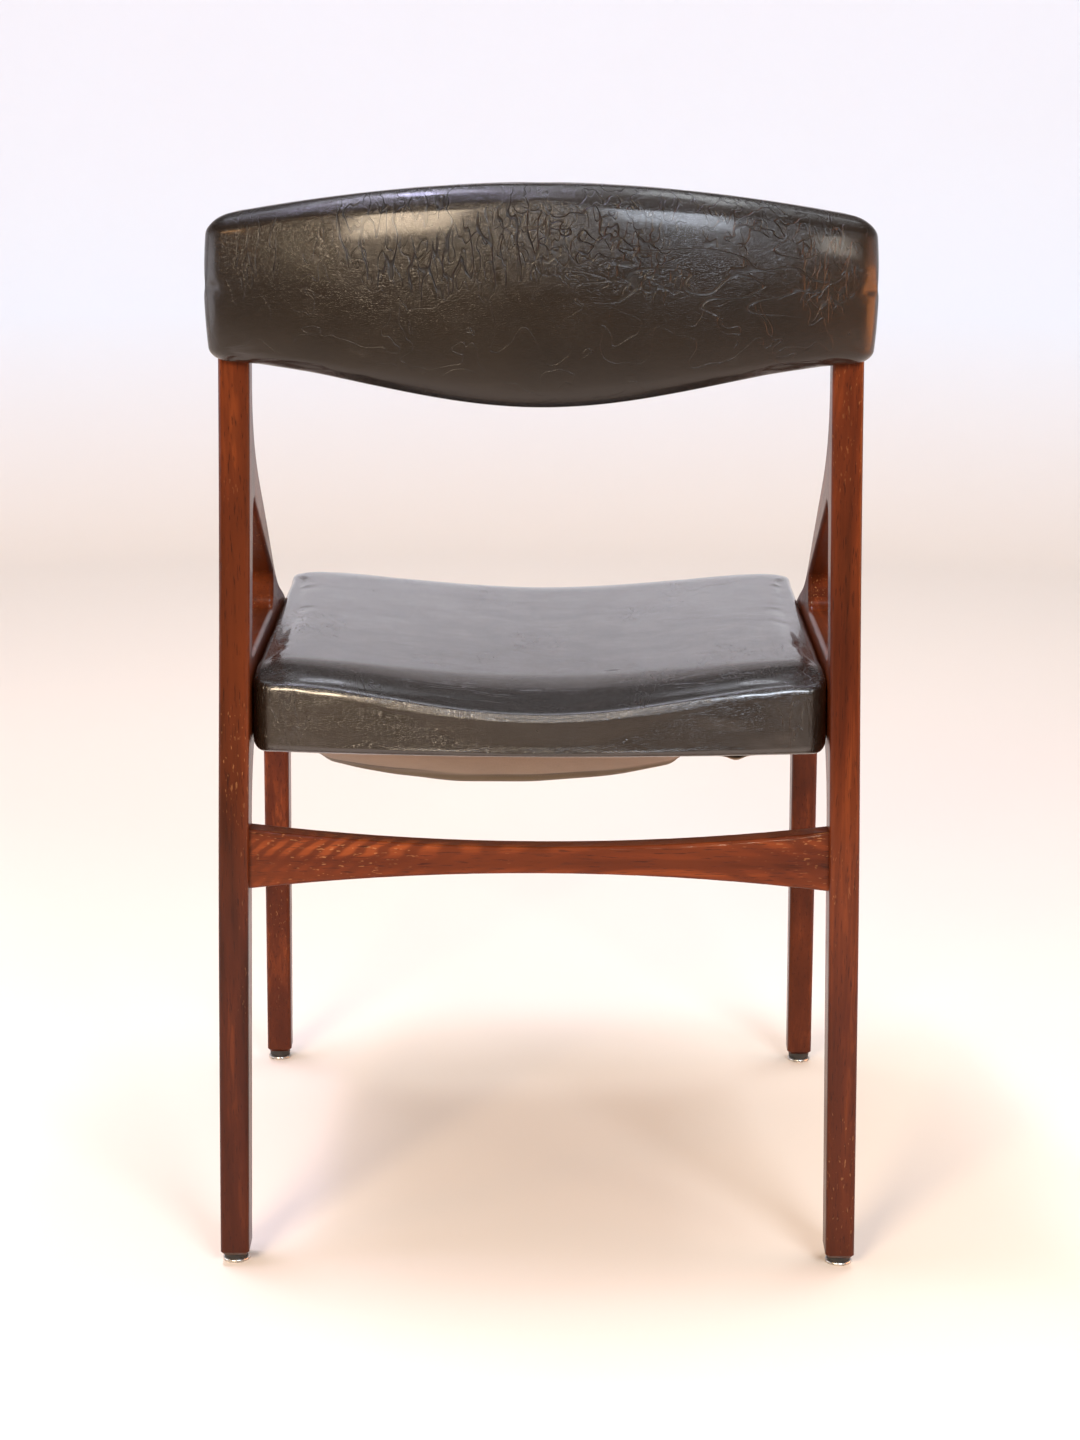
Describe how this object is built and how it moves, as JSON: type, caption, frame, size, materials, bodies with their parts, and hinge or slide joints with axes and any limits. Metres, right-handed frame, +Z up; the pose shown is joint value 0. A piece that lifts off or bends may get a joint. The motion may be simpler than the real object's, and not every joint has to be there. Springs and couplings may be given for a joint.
{
  "type": "dining chair",
  "caption": "Armless wooden dining chair: flat side frames with a sloping brace, dished upholstered seat and curved upholstered back.",
  "frame": {"origin": "on the floor under the middle of the chair's outline box", "axes": "+Z up, +Y towards the front edge of the seat, +X towards the sitter's right"},
  "size_m": [0.4876, 0.5462, 0.7866],
  "materials": {
    "teak": "oiled satin",
    "beech": "plain",
    "plywood": "plain",
    "leatherette": "glossy grained vinyl",
    "lining_cloth": "plain woven lining",
    "webbing": "woven elastic strip",
    "foam": "open-cell foam",
    "glide_steel": "bright nickel plate",
    "screw_steel": "zinc plate",
    "pad_rubber": "matt"
  },
  "bodies": {
    "root": {"back_cover": "leatherette", "back_front_foam": "foam", "back_rear_foam": "foam", "back_screws": "screw_steel", "back_shell": "plywood", "cross_rail_dowels": "beech", "front_left_glide": "glide_steel", "front_left_glide_pad": "pad_rubber", "front_rail": "teak", "front_right_glide": "glide_steel", "front_right_glide_pad": "pad_rubber", "left_back_block": "beech", "left_brace": "teak", "left_front_leg": "teak", "left_rear_leg": "teak", "left_side_rail": "teak", "rear_left_glide": "glide_steel", "rear_left_glide_pad": "pad_rubber", "rear_right_glide": "glide_steel", "rear_right_glide_pad": "pad_rubber", "rear_stretcher": "teak", "right_back_block": "beech", "right_brace": "teak", "right_front_leg": "teak", "right_rear_leg": "teak", "right_side_rail": "teak", "seat_corner_blocks": "beech", "seat_cover": "leatherette", "seat_dust_cover": "lining_cloth", "seat_foam": "foam", "seat_frame_front": "beech", "seat_frame_left": "beech", "seat_frame_rear": "beech", "seat_frame_right": "beech", "seat_front_screws": "screw_steel", "seat_side_screws": "screw_steel", "seat_webbing": "webbing", "side_frame_dowels": "beech"}
  },
  "joints": []
}
